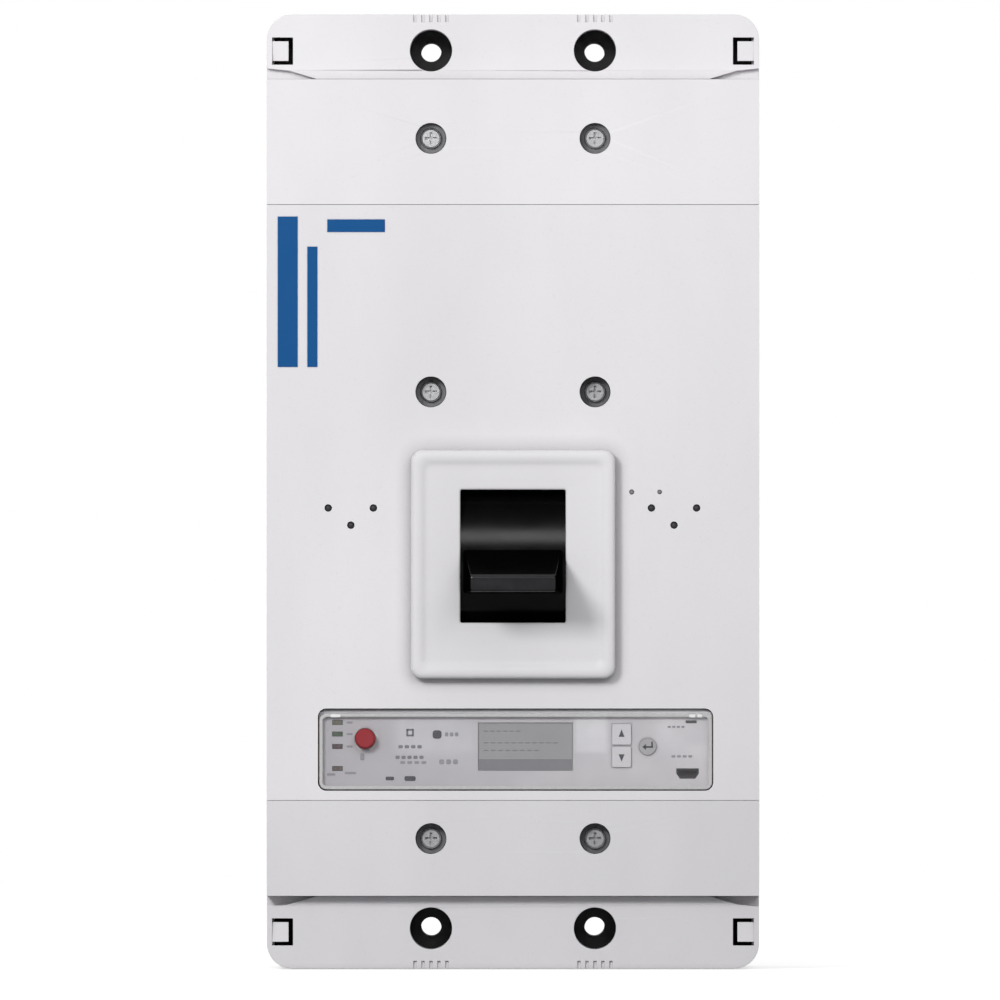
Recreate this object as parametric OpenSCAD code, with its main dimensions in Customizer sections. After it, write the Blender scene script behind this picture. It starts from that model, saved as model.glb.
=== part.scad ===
// Three-pole molded case circuit breaker with an electronic trip unit.
// +Z is up (line end), the front faces -Y, and the back mounting face lies on y = 0.
// Profiles seen from the side are drawn as [z, d], where d is the distance forward of the back face.

/* [Case] */
// Width of the case across the three poles
case_w = 209.6; // [205:0.1:215]
// Height of the case from the line end to the load end
case_h = 406.4; // [404:0.1:409]
// Distance from the back face to the front cover's face
face_d = 131.7; // [131:0.1:133]
// Depth of the black base
base_d = 78; // [77:0.5:79]
// Corner radius of the case outline
corner_r = 10.6; // [6:0.1:12]
// Wall thickness of the covers
wall = 3; // [2.5:0.1:3.5]

/* [Poles] */
// Distance between the centrelines of neighbouring poles
pole_pitch = 69.85; // [69.6:0.05:70]
// Width of each conductor
bar_w = 38; // [34:0.5:38]
// Number of plates in each arc chute
arc_plate_count = 9; // [6:1:10]

/* [Mounting] */
// Distance between the upper and lower mounting holes
mount_pitch_z = 374; // [372:0.1:375]
// Radius of the mounting holes
mount_r = 4.35; // [3.5:0.05:4.6]

/* [Mechanism] */
// Angle of the handle below its middle position
handle_rest = 6.2; // [4:0.1:6.5]
// Angle that the crossbar turns between open and closed
open_angle = 20.5; // [18:0.5:21]
// Distance from the handle's pivot to its tip
handle_reach = 106.5; // [96:0.5:112]

/* [Hidden] */
$fn = 48;
gap = 0.2;
slip = 0.05;
SIDES = [-1, 1];
POLES = [-1, 0, 1];

// Case levels
seam_top = 122.2;
seam_low = -131.5;
shield_top = 175.5;
shield_low = -172.1;
lid_d = 112;
section_d = 125.2;
shield_d = 118;
bezel_d = face_d + 8;
floor_d = 8;
pocket_half = 31.4;
mount_z = 0.9;
wall_x = pole_pitch / 2;
case_half_h = case_h / 2;

// Screws
screw_recess_r = 6.6;
head_r = 4.3;
shank_r = 2.5;
front_screw_z = 42.4;
line_screw_z = 150.3;
load_screw_z = -147.7;

// Handle opening and bezel
open_z = -27.5;
open_w = 44.8;
open_h = 56.6;
bezel_w = 87;
bezel_h = 97.2;
bezel_z = -30.9;
bezel_r = 5;

// Pivots, as [z, d]
crossbar_c = [-30, 44];
handle_c = [open_z, 74];
cradle_c = [12, 60];
latch_c = [-68, 66];
trip_c = [-79, 88];
crossbar_r = 13;
link_arm = 17;
link_at = crossbar_c + link_arm * [cos(45), sin(45)];
toggle_at = [-20.5, 70];
upper_at = [-5, 78.5];

// Handle
shield_r = 62;
shield_half = 44;
handle_half_x = 21.8;
yoke_r = 42;

// Contacts and terminals
contact_z = [38, 50];
fixed_top = 27;
pad_d = [34, 43.5];
pad_hole_r = 5.3;
pad_hole_dx = 9.525;
pad_hole_z = 182;

// Trip unit, measured from the case centre
panel_x = [-82.6, 84.8];
panel_z = [-126.9, -92.7];
panel_d = 128.4;
panel_r = 3.2;
lcd_x = [-14.9, 25.5];
lcd_z = [-118.8, -98.3];
trip_button = [-62.9, -105.1];
key_points = [[46.2, -103.3], [46.2, -112.9]];
key_size = [8.4, 9.1];
enter_key = [57.3, -108.5];
enter_r = 3.6;
led_x = -74.7;
led_half = [2.05, 0.85];
led_z = [-98.3, -103.2, -108.5, -117.9];
usb_at = [74.3, -120];
actuator = [32, -106];
window_d = [129.8, 131.4];
window_hinge = [-94.4, 130.6];
panel_mid = [(panel_x[0] + panel_x[1]) / 2, (panel_z[0] + panel_z[1]) / 2];
panel_size = [panel_x[1] - panel_x[0], panel_z[1] - panel_z[0]];

// ---------- Placing helpers ----------

// Extrudes a front outline, drawn in x and z, from depth d0 forward to depth d1.
module forward(d0, d1) {
    translate([0, -d0, 0]) rotate([90, 0, 0]) linear_extrude(d1 - d0) children();
}

// Carries a solid drawn in local [z, d, x] axes into the case frame.
module side_axes() {
    multmatrix([[0, 0, 1, 0], [0, -1, 0, 0], [1, 0, 0, 0], [0, 0, 0, 1]]) children();
}

// Extrudes a side profile, drawn as [z, d], from x0 to x1.
module across(x0, x1) {
    side_axes() translate([0, 0, x0]) linear_extrude(x1 - x0) children();
}

// Extrudes a side profile as a pair of plates, one on each side of the pole centre.
module pair(inner, outer) {
    for (side = SIDES) {
        across(side < 0 ? -outer : inner, side < 0 ? -inner : outer) children();
    }
}

// Turns its children about a pivot that runs along X, so that a positive angle moves the top forward.
module swing(pivot, angle) {
    translate([0, -pivot[1], pivot[0]]) rotate([angle, 0, 0]) translate([0, pivot[1], -pivot[0]]) children();
}

module at_pole(pole) {
    translate([pole * pole_pitch, 0, 0]) children();
}

// A round bar along X through a [z, d] point.
module rod(at, r, x0, x1) {
    side_axes() translate([at[0], at[1], x0]) cylinder(r = r, h = x1 - x0);
}

// A round bar along the depth axis through an [x, z] point.
module post(at, r, d0, d1) {
    translate([at[0], -d0, at[1]]) rotate([90, 0, 0]) cylinder(r = r, h = d1 - d0);
}

// A hexagonal bar along the depth axis with two flats facing sideways; r reaches its corners.
module hex_post(at, r, d0, d1) {
    translate([at[0], -d0, at[1]]) rotate([90, 30, 0]) cylinder(r = r, h = d1 - d0, $fn = 6);
}

// A block given by its x, z and depth ranges.
module block(x, z, d) {
    translate([x[0], -d[1], z[0]]) cube([x[1] - x[0], d[1] - d[0], z[1] - z[0]]);
}

// A rectangle with round corners, centred on a point.
module round_rect(size, r, at = [0, 0]) {
    half = [size[0] / 2 - r, size[1] / 2 - r];
    translate(at) {
        square([size[0] - 2 * r, size[1]], center = true);
        square([size[0], size[1] - 2 * r], center = true);
        for (sx = SIDES, sz = SIDES) {
            translate([sx * half[0], sz * half[1]]) circle(r = r);
        }
    }
}

// A part ring about the origin, from angle a0 to a1, drawn in local [z, d, x] axes.
module ring_part(r0, r1, a0, a1, x0, x1) {
    rotate([0, 0, a0]) rotate_extrude(angle = a1 - a0) translate([r0, x0]) square([r1 - r0, x1 - x0]);
}

// Closed outline of a strip of even thickness along a path.
function leg_dir(path, i) =
    let (a = path[max(i - 1, 0)], b = path[min(i + 1, len(path) - 1)]) (b - a) / norm(b - a);
function strip(path, t) = concat(
    [for (i = [0:len(path) - 1]) path[i] + t / 2 * [-leg_dir(path, i)[1], leg_dir(path, i)[0]]],
    [for (i = [len(path) - 1:-1:0]) path[i] - t / 2 * [-leg_dir(path, i)[1], leg_dir(path, i)[0]]]
);

// A straight link between two eyes, drawn as [z, d].
module link_outline(a, b, ra, rb) {
    span = norm(b - a);
    turn = atan2(b[1] - a[1], b[0] - a[0]);
    translate(a) rotate(turn) {
        circle(r = ra);
        translate([span, 0]) circle(r = rb);
        polygon([[0, -ra], [span, -rb], [span, rb], [0, ra]]);
    }
}

// ---------- Case ----------

module case_outline(inset = 0) {
    round_rect([case_w - 2 * inset, case_h - 2 * inset], corner_r - inset);
}

function mount_points() = [for (sx = SIDES, sz = SIDES) [sx * wall_x, mount_z + sz * mount_pitch_z / 2]];
function line_screws() = [for (sx = SIDES) [sx * wall_x, line_screw_z]];
function load_screws() = [for (sx = SIDES) [sx * wall_x, load_screw_z]];
function front_screws() = [for (sx = SIDES) [sx * wall_x, front_screw_z]];
function primary_screws() = concat(line_screws(), load_screws());

// Open space of one pole in the base, with its raised terminal seats at both ends.
module pole_pocket() {
    block([-pocket_half, pocket_half], [-146, 146], [floor_d, base_d + 1]);
    for (end = SIDES) {
        z = end < 0 ? [-196.5, -145] : [145, 196.5];
        block([-pocket_half + 7.5, pocket_half - 7.5], z, [pad_d[0] - gap, base_d + 1]);
        outside = end < 0 ? [-case_half_h - 1, -190] : [190, case_half_h + 1];
        block([-22, 22], outside, [pad_d[0] - gap, base_d + 1]);
        for (sx = SIDES) {
            translate([0, 0, end * pad_hole_z])
                hex_post([sx * pad_hole_dx, 0], 9.5, 21, pad_d[0]);
        }
    }
}

// Shallow panel sunk in a side wall of the base.
module side_panel(side, z) {
    x = [side * (case_w / 2 - 1.4), side * (case_w / 2 + 1)];
    across(min(x), max(x)) round_rect([124, 50], 5, [z, 39]);
}

module base() {
    color([0.06, 0.06, 0.065]) difference() {
        union() {
            difference() {
                forward(0, base_d) case_outline(0.3);
                for (pole = POLES) at_pole(pole) pole_pocket();
            }
            for (p = mount_points()) post(p, 11.9, 0, base_d);
            for (p = primary_screws()) post(p, 6.5, 1, base_d);
            for (pole = POLES) at_pole(pole) conductor_saddles();
        }
        for (p = mount_points()) {
            post(p, mount_r, -1, base_d + 1);
            block([p[0] - 1.6, p[0] + 1.6], p[1] > 0 ? [197, 210] : [-210, -197], [10, base_d + 1]);
        }
        for (p = primary_screws()) post(p, 3.6, base_d - 16, base_d + 1);
        rod(crossbar_c, crossbar_r + 0.1, -100, 100);
        block([-100, 100], [crossbar_c[0] - crossbar_r - 0.1, crossbar_c[0] + crossbar_r + 0.1],
            [crossbar_c[1], base_d + 1]);
        for (p = frame_screw_points()) post(p, 2.05, 2, floor_d + 1);
        for (pole = POLES) at_pole(pole) forward(-1, 1.2) round_rect([50, 236], 6);
        for (side = SIDES, z = [-84, 84]) side_panel(side, z);
    }
}

// Low ribs that carry the load conductor and its current sensor.
module conductor_saddles() {
    block([-17, 17], [-66, -60], [floor_d - 0.5, 16 - slip]);
    block([-17, 17], [-122, -114], [floor_d - 0.5, 16 - slip]);
}

// Side profile of the primary cover between the two terminal shields.
module primary_profile() {
    polygon([
        [shield_low, base_d + gap], [shield_low, section_d], [seam_low, face_d], [seam_low, lid_d],
        [seam_top, lid_d], [seam_top, face_d], [shield_top, section_d], [shield_top, base_d + gap]
    ]);
}

module primary_hollow() {
    for (pole = POLES) at_pole(pole) {
        block([-pocket_half, pocket_half], [seam_low + 2, seam_top - 2], [base_d - 1, lid_d - 3.5]);
        block([-pocket_half, pocket_half], [seam_top + 1, shield_top - 3.5], [base_d - 1, section_d - 4]);
        block([-pocket_half, pocket_half], [shield_low + 3.5, seam_low - 1], [base_d - 1, section_d - 4]);
    }
}

module primary_cover() {
    color([0.86, 0.86, 0.87]) difference() {
        union() {
            difference() {
                intersection() {
                    forward(base_d, bezel_d) case_outline();
                    across(-case_w / 2 - 1, case_w / 2 + 1) primary_profile();
                }
                primary_hollow();
            }
            for (p = primary_screws()) post(p, 8.6, base_d + gap, 123);
            for (p = front_screws()) post(p, 6.5, lid_d - 16, lid_d - 1);
        }
        // Opening over the handle's sweep, and the one for the trip unit
        block([-31, 31], [-87, 31], [base_d - 1, bezel_d]);
        block([-83.5, 85.5], [-130, -84], [base_d - 1, bezel_d]);
        block([-83.5, -31], [-84.1, -70], [base_d - 1, lid_d - 3.5]);
        // Accessory cavities, one to each side of the handle
        for (sx = SIDES) block([sx < 0 ? -96 : 44, sx < 0 ? -44 : 96], [-62, 30], [lid_d - 4, lid_d + 1]);
        for (p = primary_screws()) {
            post(p, shank_r + 0.3, base_d - 1, bezel_d);
            post(p, screw_recess_r, 121, bezel_d);
        }
        for (p = front_screws()) post(p, 3.6, lid_d - 12, lid_d + 1);
        block([-75, 50], [trip_c[0] - 6, trip_c[0] + 6], [base_d - 1, trip_c[1] + 8]);
    }
}

module front_cover() {
    low = seam_low + gap;
    high = seam_top - gap;
    color([0.87, 0.87, 0.88]) difference() {
        union() {
            difference() {
                block([-case_w / 2, case_w / 2], [low, high], [lid_d + gap, face_d]);
                block([-case_w / 2 + wall, case_w / 2 - wall], [low + wall, high - wall],
                    [lid_d - 1, face_d - 3.2]);
            }
            for (p = front_screws()) post(p, 8.6, lid_d + gap, face_d - 1);
        }
        block([-33, 33], [open_z - 36, open_z + 36], [lid_d, face_d + 1]);
        forward(lid_d, face_d + 1) round_rect(panel_size + [0.8, 0.8], panel_r + 0.4, panel_mid);
        for (p = front_screws()) {
            post(p, shank_r + 0.3, lid_d - 1, face_d + 1);
            post(p, screw_recess_r, 121, face_d + 1);
        }
        for (p = marker_pips()) post([p[0], p[1]], p[2], face_d - 1.4, face_d + 1);
        rod(window_hinge, 0.55, panel_x[0] - 2.6, panel_x[1] + 2.6);
    }
}

// Small moulded marker pips beside the bezel, as [x, z, radius].
function marker_trio(x) = [[x - 9.6, -7, 1.6], [x, -14.3, 1.6], [x + 9.6, -7, 1.6]];
function marker_pips() = concat(marker_trio(-69), marker_trio(68.5), [[50.5, -0.2, 1.1], [62.4, -0.2, 1]]);

module bezel() {
    at = [0, bezel_z];
    color([0.9, 0.9, 0.91]) difference() {
        union() {
            forward(face_d + slip, bezel_d) round_rect([bezel_w, bezel_h], bezel_r, at);
            forward(127.6, face_d + 0.5) round_rect([65.6, 71.6], 3, [0, open_z]);
        }
        forward(127, 136.4) round_rect([60.6, 68], 2, [0, open_z]);
        forward(bezel_d - 1.1, bezel_d + 1) round_rect([bezel_w - 11, bezel_h - 11], 3, at);
        forward(130, bezel_d + 1) round_rect([open_w, open_h], 0.8, [0, open_z]);
    }
}

// A snap-on cover over one row of terminals; end is 1 at the line end and -1 at the load end.
module terminal_shield(end) {
    edge = end > 0 ? shield_top + gap : shield_low - gap;
    drop = end > 0 ? 3.5 : 5;
    tip = end * case_half_h;
    z = end > 0 ? [edge, tip + 1] : [tip - 1, edge];
    color([0.85, 0.85, 0.86]) difference() {
        union() {
            difference() {
                intersection() {
                    forward(base_d + gap, shield_d) case_outline();
                    across(-case_w / 2 - 1, case_w / 2 + 1) polygon([
                        [edge, base_d + gap], [edge, shield_d - 1.1], [edge + end * 3.8, shield_d - 0.5],
                        [tip, shield_d - drop], [tip, base_d + gap]
                    ]);
                }
                intersection() {
                    forward(base_d - 1, shield_d - 7) case_outline(wall);
                    block([-case_w / 2, case_w / 2], z, [base_d - 1, shield_d - 7]);
                }
            }
            for (p = mount_points()) if (p[1] * end > 0) post(p, 11, base_d + gap, shield_d - 6);
        }
        for (p = mount_points()) if (p[1] * end > 0) {
            post(p, 9, base_d - 1, shield_d + 1);
            for (i = [-2:2]) block([p[0] + 3.4 * i - 0.7, p[0] + 3.4 * i + 0.7],
                end > 0 ? [tip - 3.2, tip + 1] : [tip - 1, tip + 3.2], [shield_d - drop - 0.8, shield_d + 1]);
        }
        for (side = SIDES) {
            snap_slot(side, end * 187.6, shield_d - 0.6 - 0.55 * drop);
            corner_notch(side, end, edge);
        }
    }
}

// C-shaped slot that frees the snap tab at a side edge, and the tab's lowered face.
module snap_slot(side, z, tab_d) {
    root = side * (case_w / 2 - 2.2);
    tab = side * (case_w / 2 - 9.2);
    inner = side * (case_w / 2 - 11.1);
    through = [shield_d - 8, shield_d + 1];
    difference() {
        block([min(root, inner), max(root, inner)], [z - 5.8, z + 5.8], through);
        block([min(root, tab) - (side < 0 ? 1 : 0), max(root, tab) + (side > 0 ? 1 : 0)],
            [z - 4.2, z + 4.2], [through[0] - 1, tab_d]);
    }
}

// Three-cornered pocket under the step at an outer corner, for prying the cover off.
module corner_notch(side, end, edge) {
    outer = side * (case_w / 2 + 1);
    forward(shield_d - 5, shield_d + 1) polygon([
        [outer, edge - end], [outer, edge + end * 4.6], [side * (case_w / 2 - 9), edge + end * 3.6],
        [side * (case_w / 2 - 21), edge], [side * (case_w / 2 - 21), edge - end]
    ]);
}

// Pan-head screw with a cross recess, driven along the depth axis.
module pan_screw(at, head_d, tail_d) {
    difference() {
        union() {
            post(at, head_r, head_d - 3, head_d - 0.6);
            translate([at[0], -(head_d - 0.6), at[1]]) rotate([90, 0, 0])
                cylinder(r1 = head_r, r2 = head_r - 0.7, h = 0.6);
            post(at, shank_r, tail_d, head_d - 3);
        }
        block([at[0] - 0.6, at[0] + 0.6], [at[1] - 2.6, at[1] + 2.6], [head_d - 1.8, head_d + 1]);
        block([at[0] - 2.6, at[0] + 2.6], [at[1] - 0.6, at[1] + 0.6], [head_d - 1.8, head_d + 1]);
    }
}

module primary_cover_screws() {
    color([0.6, 0.6, 0.62]) for (p = primary_screws()) pan_screw(p, 124.1, base_d - 12);
}

module front_cover_screws() {
    color([0.6, 0.6, 0.62]) for (p = front_screws()) pan_screw(p, 124.1, lid_d - 9);
}

module insert(at, top) {
    difference() {
        post(at, 3.55, top - 8, top);
        post(at, shank_r + 0.02, top - 9, top + 1);
    }
}

module cover_inserts() {
    color([0.72, 0.55, 0.25]) {
        for (p = primary_screws()) insert(p, base_d - 0.1);
        for (p = front_screws()) insert(p, lid_d - 0.1);
    }
}

module accent_label() {
    color([0.09, 0.34, 0.57]) {
        block([-100.1, -91.6], [53, 117], [face_d + 0.02, face_d + 0.22]);
        block([-87.5, -83.2], [53, 104.2], [face_d + 0.02, face_d + 0.22]);
        block([-79, -54.5], [110.4, 115.8], [face_d + 0.02, face_d + 0.22]);
    }
}

// ---------- Current path ----------

// Bolt holes through both terminal pads of a conductor at the given end.
module pad_holes(end) {
    for (sx = SIDES) post([sx * pad_hole_dx, end * pad_hole_z], pad_hole_r, pad_d[0] - 1, pad_d[1] + 1);
}

// Line conductor with its reverse loop under the fixed contact.
module line_conductor(pole) {
    color([0.8, 0.5, 0.32]) at_pole(pole) difference() {
        across(-bar_w / 2, bar_w / 2) polygon([
            [12, floor_d + slip], [132, floor_d + slip], [146, pad_d[0]], [199, pad_d[0]], [199, pad_d[1]],
            [142, pad_d[1]], [127, 14.1], [18, 14.1], [18, 18], [62, 18], [62, 24], [12, 24]
        ]);
        pad_holes(1);
    }
}

module load_conductor(pole) {
    color([0.8, 0.5, 0.32]) at_pole(pole) difference() {
        across(-bar_w / 2, bar_w / 2) polygon([
            [-56, 16], [-56, 24], [-124, 24], [-142, pad_d[1]], [-199, pad_d[1]], [-199, pad_d[0]],
            [-145.5, pad_d[0]], [-127.5, 16]
        ]);
        pad_holes(-1);
    }
}

module fixed_contact_tips() {
    color([0.78, 0.78, 0.76]) for (pole = POLES) at_pole(pole)
        block([-9, 9], contact_z, [24 + slip, fixed_top]);
}

// Places one body's parts, drawn with the contacts closed, where they rest with the contacts open.
module opened() {
    swing(crossbar_c, open_angle) children();
}

FINGERS = [[-7.6, -2.9], [-2.35, 2.35], [2.9, 7.6]];

// Three parallel fingers with a shared heel, hinged on the crossbar.
module contact_arm(pole) {
    color([0.82, 0.55, 0.36]) at_pole(pole) opened() for (f = FINGERS) difference() {
        across(f[0], f[1]) {
            translate(crossbar_c) circle(r = 9);
            polygon([[-24, 37.2], [52, 30.2], [54, 32.5], [54, 37], [52, 39], [-24, 51]]);
            link_outline(crossbar_c, crossbar_c + [-18, -12], 6, 4);
        }
        rod(crossbar_c, 3.05, f[0] - 1, f[1] + 1);
    }
}

module contact_tip(pole) {
    color([0.8, 0.8, 0.78]) at_pole(pole) opened() for (f = FINGERS)
        across(f[0] + 0.1, f[1] - 0.1) polygon([
            [contact_z[0], fixed_top + 0.1], [contact_z[1], fixed_top + 0.1],
            [contact_z[1], 30.34], [contact_z[0], 31.44]
        ]);
}

// Laminated copper straps from the arms' heels to the load conductors.
module flex_shunts() {
    color([0.75, 0.42, 0.25]) for (pole = POLES) at_pole(pole)
        across(-7.5, 7.5) polygon(strip([
            [-46.2, 21.2], [-47.8, 16], [-50.3, 12.4], [-53.8, 10.6],
            [-57.1, 11.2], [-58.6, 13.4], [-58.6, 15.9]
        ], 2.4));
}

// One steel plate of an arc chute, lying along a radius of the crossbar.
module arc_plate(angle) {
    side_axes() translate([crossbar_c[0], crossbar_c[1], 0]) rotate([0, 0, angle]) rotate([90, 0, 0])
        linear_extrude(1.6) difference() {
            polygon([
                [62, -26.4], [122, -26.4], [122, 26.4], [62, 26.4], [62, 12], [88, 9], [88, -9], [62, -12]
            ]);
            translate([88, 0]) circle(r = 9);
        }
}

module arc_plates(pole) {
    color([0.55, 0.56, 0.58]) at_pole(pole)
        for (i = [0:arc_plate_count - 1]) arc_plate(-2.5 + i * 29 / (arc_plate_count - 1));
}

module arc_side_boards() {
    color([0.78, 0.7, 0.55]) for (pole = POLES) at_pole(pole)
        side_axes() translate([crossbar_c[0], crossbar_c[1], 0]) difference() {
            union() {
                for (x = [-28.6, 26.6]) ring_part(56, 124.5, -5.5, 29, x, x + 2);
                ring_part(122.6, 124.5, -5.5, 29, -27, 27);
            }
            for (x = [-20, -8, 4]) ring_part(120, 126, -2, 26, x, x + 8);
        }
}

// Iron ring of each current sensor, round the load conductor.
module ct_cores() {
    color([0.5, 0.51, 0.54]) for (pole = POLES) at_pole(pole) difference() {
        block([-30, 30], [-104, -76], [floor_d + slip, 40]);
        block([-21.5, 21.5], [-105, -75], [14.5, 32]);
    }
}

module ct_coils() {
    color([0.62, 0.3, 0.16]) for (pole = POLES) at_pole(pole) difference() {
        block([-17, 17], [-108, -72], [26.5, 45.5]);
        block([-18, 18], [-104.2, -75.8], [31.8, 40.2]);
    }
}

module terminal_nuts() {
    color([0.7, 0.71, 0.73]) for (pole = POLES, end = SIDES, sx = SIDES)
        translate([pole * pole_pitch + sx * pad_hole_dx, 0, end * pad_hole_z]) difference() {
            hex_post([0, 0], 9.2, pad_d[0] - 8.2, pad_d[0] - slip);
            post([0, 0], 5, pad_d[0] - 9, pad_d[0]);
        }
}

// ---------- Crossbar and mechanism ----------

function closed_link() = crossbar_c + link_arm * [cos(45 - open_angle), sin(45 - open_angle)];

// A wedge about the crossbar's axis, from angle a0 to a1.
module crossbar_wedge(a0, a1) {
    reach = 24;
    polygon([
        crossbar_c, crossbar_c + reach * [cos(a0), sin(a0)],
        crossbar_c + reach * [cos((a0 + a1) / 2), sin((a0 + a1) / 2)], crossbar_c + reach * [cos(a1), sin(a1)]
    ]);
}

module crossbar() {
    color([0.22, 0.12, 0.09]) opened() difference() {
        union() {
            rod(crossbar_c, crossbar_r, -98, 98);
            pair(12, 15.2) link_outline(crossbar_c, closed_link(), 12, 4.4);
        }
        for (pole = POLES) at_pole(pole) {
            rod(crossbar_c, 9.7, -8.4, 8.4);
            across(-8.4, 8.4) {
                crossbar_wedge(-46, 50);
                crossbar_wedge(178, 252);
            }
        }
        pair(8.7, 12) translate(closed_link()) circle(r = 5.4);
        pair(11, 16) translate(closed_link()) circle(r = 2.02);
        for (pole = POLES) at_pole(pole) rod(crossbar_c, 3.02, -17, 17);
    }
}

module crossbar_pins() {
    color([0.7, 0.71, 0.73]) opened() {
        for (pole = POLES) at_pole(pole) rod(crossbar_c, 3, -17, 17);
        pair(8.8, 15.2) translate(closed_link()) circle(r = 2);
    }
}

function frame_screw_points() = [for (sx = SIDES, z = [-54, -5]) [sx * 27, z]];

// Steel side plate of the mechanism; side is -1 on the left and 1 on the right.
module side_frame(side) {
    x = side < 0 ? [-23.5, -20.5] : [20.5, 23.5];
    foot = side < 0 ? [-30.4, -20.5] : [20.5, 30.4];
    color([0.74, 0.7, 0.55]) difference() {
        union() {
            across(x[0], x[1]) polygon([
                [-62, floor_d + slip], [4, floor_d + slip], [6, 46], [20, 54], [20, 66], [6, 76], [-18, 84],
                [-38, 84], [-60, 82], [-68, 94], [-74, 97], [-84, 97], [-88, 92], [-88, 84], [-77, 76],
                [-76, 58], [-62, 48]
            ]);
            block(foot, [-60, -48], [floor_d + slip, 11]);
            block(foot, [-11, 1], [floor_d + slip, 11]);
        }
        across(x[0] - 1, x[1] + 1) {
            translate(crossbar_c) circle(r = 14.8);
            translate([crossbar_c[0] - 14.8, 0]) square([29.6, crossbar_c[1]]);
            translate(handle_c) circle(r = 3.05);
            translate(cradle_c) circle(r = 3.05);
            translate(latch_c) circle(r = 2.55);
            translate(trip_c) circle(r = 4.1);
            for (p = spacer_points()) translate(p) circle(r = 2.02);
        }
        for (p = frame_screw_points()) post(p, 2.3, floor_d - 1, 12);
    }
}

function spacer_points() = [[-52, 60], [-1, 20]];

// Shouldered rods that hold the two side plates apart.
module frame_spacers() {
    color([0.7, 0.71, 0.73]) for (p = spacer_points()) {
        rod(p, 3.2, -20.45, 20.45);
        rod(p, 2, -24.5, 24.5);
    }
}

module frame_screws() {
    color([0.6, 0.6, 0.62]) for (p = frame_screw_points()) difference() {
        union() {
            post(p, 3.4, 11 + slip, 13.6);
            post(p, 2, 3, 11 + slip);
        }
        post(p, 1.6, 12, 14);
    }
}

module mechanism_pins() {
    color([0.7, 0.71, 0.73]) {
        pair(15.95, 24) translate(cradle_c) circle(r = 3);
        pair(20.2, 29.4) translate(handle_c) circle(r = 3);
        rod(latch_c, 2.5, -24.5, 24.5);
    }
}

// Turns the handle's parts, drawn pointing straight forward, to where they rest.
module handle_at_rest() {
    swing(handle_c, handle_rest) children();
}

// A point at radius r straight in front of the handle's pivot.
function ahead(r, z = 0) = [handle_c[0] + z, handle_c[1] + r];

module handle_yoke() {
    color([0.72, 0.73, 0.75]) handle_at_rest() difference() {
        union() {
            pair(25.5, 28.5) link_outline(handle_c, ahead(yoke_r - 8), 7, 7);
            pair(25.5, 28.5) polygon([ahead(20, -7), ahead(20, 7), ahead(yoke_r, 7), ahead(yoke_r, -7)]);
            across(-28.5, 28.5) polygon([ahead(38, -7), ahead(38, 7), ahead(yoke_r, 7), ahead(yoke_r, -7)]);
            pair(9, 11.5) polygon([ahead(32, -3), ahead(32, 3), ahead(39, 4), ahead(39, -4)]);
            rod(ahead(34), 1.5, -10, 10);
        }
        across(-30, 30) translate(handle_c) circle(r = 3.05);
    }
}

module handle() {
    root_y = -handle_c[1] - 50;
    tip_y = -handle_c[1] - handle_reach - 1;
    color([0.02, 0.02, 0.025]) handle_at_rest() {
        side_axes() translate([handle_c[0], handle_c[1], 0])
            ring_part(shield_r - 4, shield_r, 90 - shield_half, 90 + shield_half, -26, 26);
        intersection() {
            across(-handle_half_x, handle_half_x) polygon([
                ahead(shield_r - 3.5, -9.9), ahead(shield_r - 3.5, 9.9), ahead(handle_reach - 2, 3.65),
                ahead(handle_reach, 2.2), ahead(handle_reach, -2.2), ahead(handle_reach - 2, -3.65)
            ]);
            translate([0, 0, open_z - 15]) linear_extrude(30) polygon([
                [-handle_half_x, root_y], [handle_half_x, root_y],
                [handle_half_x - 3, tip_y], [3 - handle_half_x, tip_y]
            ]);
        }
        across(-handle_half_x, handle_half_x) polygon([
            ahead(yoke_r + slip, -8), ahead(yoke_r + slip, 8),
            ahead(shield_r - 3, 8), ahead(shield_r - 3, -8)
        ]);
    }
}

// Latched lever that carries the upper links; its tip is held by the trip latch.
module cradle() {
    color([0.7, 0.71, 0.73]) difference() {
        union() {
            pair(16, 18.5) {
                link_outline(cradle_c, upper_at, 6.5, 6);
                polygon([
                    upper_at + [4, 4], upper_at + [-3, 5.5], [-60.1, 80.2], [-63.2, 75.5], [-52, 73],
                    upper_at + [-6, -6]
                ]);
            }
            across(-18.5, 18.5) polygon([[-52, 73], [-52, 80], [-60.1, 80.2], [-63.2, 75.5]]);
            pair(12.4, 16.5) translate(upper_at) circle(r = 2);
        }
        pair(15, 19) translate(cradle_c) circle(r = 3.05);
    }
}

module upper_links() {
    along = (toggle_at - upper_at) / norm(toggle_at - upper_at);
    color([0.74, 0.74, 0.76]) pair(12.5, 15) difference() {
        union() {
            link_outline(upper_at, toggle_at, 4.6, 6.1);
            link_outline(toggle_at, toggle_at + 2.6 * along, 6.1, 6.1);
        }
        translate(upper_at) circle(r = 2.05);
        link_outline(toggle_at, toggle_at + 2.6 * along, 4, 4);
    }
}

module lower_links() {
    color([0.74, 0.74, 0.76]) pair(9, 11.5) difference() {
        link_outline(link_at, toggle_at, 4.2, 4.2);
        translate(link_at) circle(r = 2.05);
        translate(toggle_at) circle(r = 2.02);
    }
}

module toggle_pin() {
    color([0.7, 0.71, 0.73]) rod(toggle_at, 2, -15.2, 15.2);
}

// Points of one ring of a coil's wire, at turn angle t.
function coil_ring(t, radius, wire, pitch, sides) = [for (k = [0:sides - 1])
    let (a = 360 * k / sides)
    [(radius + wire * cos(a)) * cos(t), (radius + wire * cos(a)) * sin(t), pitch * t / 360 + wire * sin(a)]];

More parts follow.
